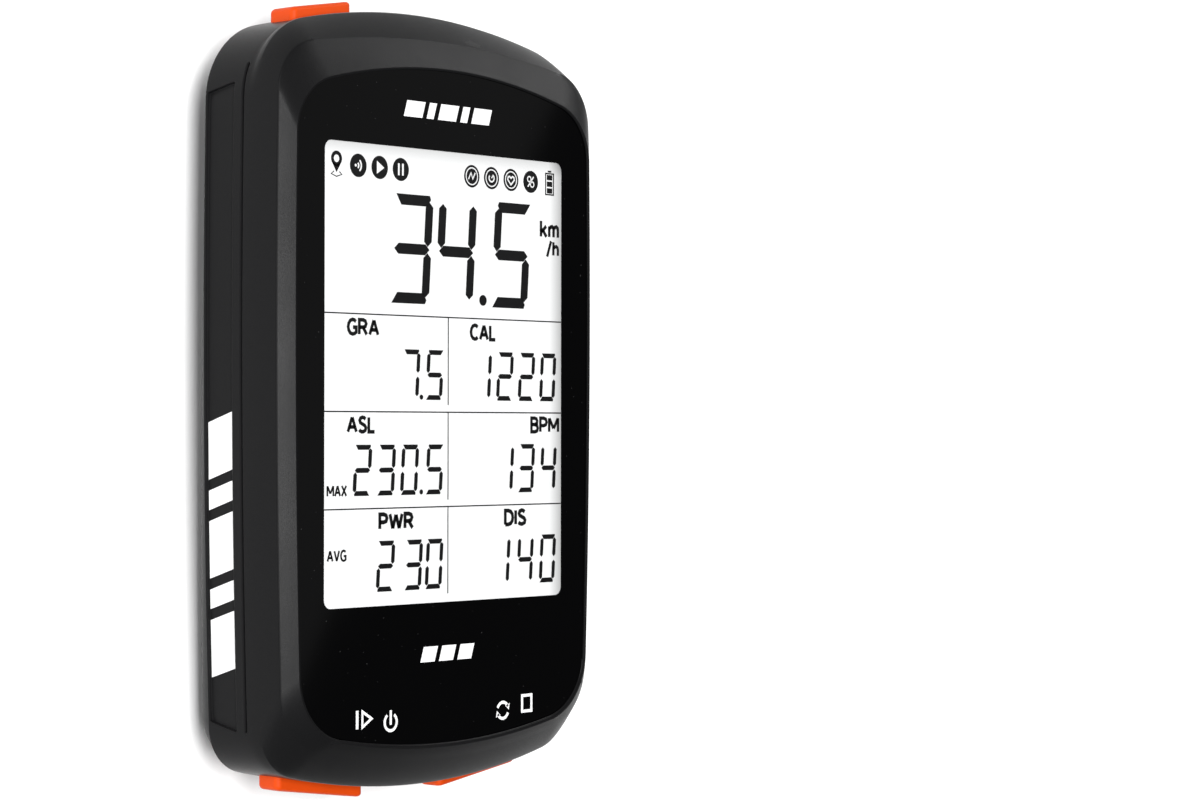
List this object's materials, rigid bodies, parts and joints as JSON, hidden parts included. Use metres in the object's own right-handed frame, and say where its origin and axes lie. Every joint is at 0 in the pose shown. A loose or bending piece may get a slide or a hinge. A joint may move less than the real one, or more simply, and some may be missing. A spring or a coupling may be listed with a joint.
{
  "type": "cycling computer",
  "caption": "Handlebar cycling computer with a barrel-shaped casing, bonded glass over a segment display, end-mounted push buttons and a quarter-turn twist mount on its back.",
  "frame": {"origin": "centre of the lower face of the twist mount, on the surface that the part rests on", "axes": "+Z out of the screen, +Y along the casing to its top end, +X to the right as the screen is read"},
  "size_m": [0.0518, 0.0889, 0.0198],
  "materials": {
    "housing": "fine moulded texture",
    "cover": "fine moulded texture",
    "mount_plastic": "satin, glass-filled",
    "silicone": "matte",
    "flap_rubber": "matte",
    "black_glass": "polished, printed black border",
    "adhesive": "matte foam tape",
    "lcd": "pale reflective display",
    "light_guide": "clear moulded",
    "led": "moulded",
    "white_plastic": "satin",
    "ribbon": "polyimide film",
    "board": "solder mask",
    "chip": "moulded epoxy",
    "tinned_steel": "tinned",
    "antenna_ceramic": "fired ceramic",
    "membrane": "woven membrane",
    "cell_foil": "laminated foil pouch",
    "foam": "open foam",
    "lead": "insulated wire",
    "black_steel": "black oxide",
    "steel_screw": "plated",
    "insert_brass": "knurled",
    "button_orange": "satin gloss",
    "plunger": "moulded"
  },
  "bodies": {
    "casing": {"front_housing": "housing", "rear_cover": "cover", "housing_seal": "silicone", "cover_glass": "black_glass", "glass_adhesive": "adhesive", "lcd_panel": "lcd", "light_guide": "light_guide", "backlight_leds": "led", "display_carrier": "white_plastic", "display_flex": "ribbon", "main_board": "board", "processor_chip": "chip", "shield_can": "tinned_steel", "gnss_antenna": "antenna_ceramic", "radio_module": "chip", "pressure_sensor": "tinned_steel", "vent_membrane": "membrane", "buzzer": "chip", "battery_cell": "cell_foil", "battery_foam": "foam", "battery_header": "white_plastic", "battery_leads": "lead", "usb_receptacle": "tinned_steel", "flap_anchor": "flap_rubber", "side_switches": "tinned_steel", "case_screws": "black_steel", "threaded_inserts": "insert_brass", "board_screws": "steel_screw", "quarter_turn_mount": "mount_plastic", "mount_seal": "silicone", "mount_screws": "steel_screw"},
    "top_left_key": {"top_left_button": "button_orange", "top_left_button_seal": "silicone", "top_left_plunger": "plunger"},
    "bottom_left_key": {"bottom_left_button": "button_orange", "bottom_left_button_seal": "silicone", "bottom_left_plunger": "plunger"},
    "bottom_right_key": {"bottom_right_button": "button_orange", "bottom_right_button_seal": "silicone", "bottom_right_plunger": "plunger"},
    "port_flap": {"usb_flap": "flap_rubber"}
  },
  "joints": [
    {"name": "top_left_press", "type": "slide", "parent": "casing", "child": "top_left_key", "axis": [0, -1, 0], "range_m": [0, 0.0006], "stiffness_N_per_m": 2500},
    {"name": "bottom_left_press", "type": "slide", "parent": "casing", "child": "bottom_left_key", "axis": [0, 1, 0], "range_m": [0, 0.0006], "stiffness_N_per_m": 2500},
    {"name": "bottom_right_press", "type": "slide", "parent": "casing", "child": "bottom_right_key", "axis": [0, 1, 0], "range_m": [0, 0.0006], "stiffness_N_per_m": 2500},
    {"name": "flap_hinge", "type": "hinge", "parent": "casing", "child": "port_flap", "pos_m": [0, -0.0427, 0.00955], "axis": [1, 0, 0], "range_deg": [0, 110]}
  ]
}
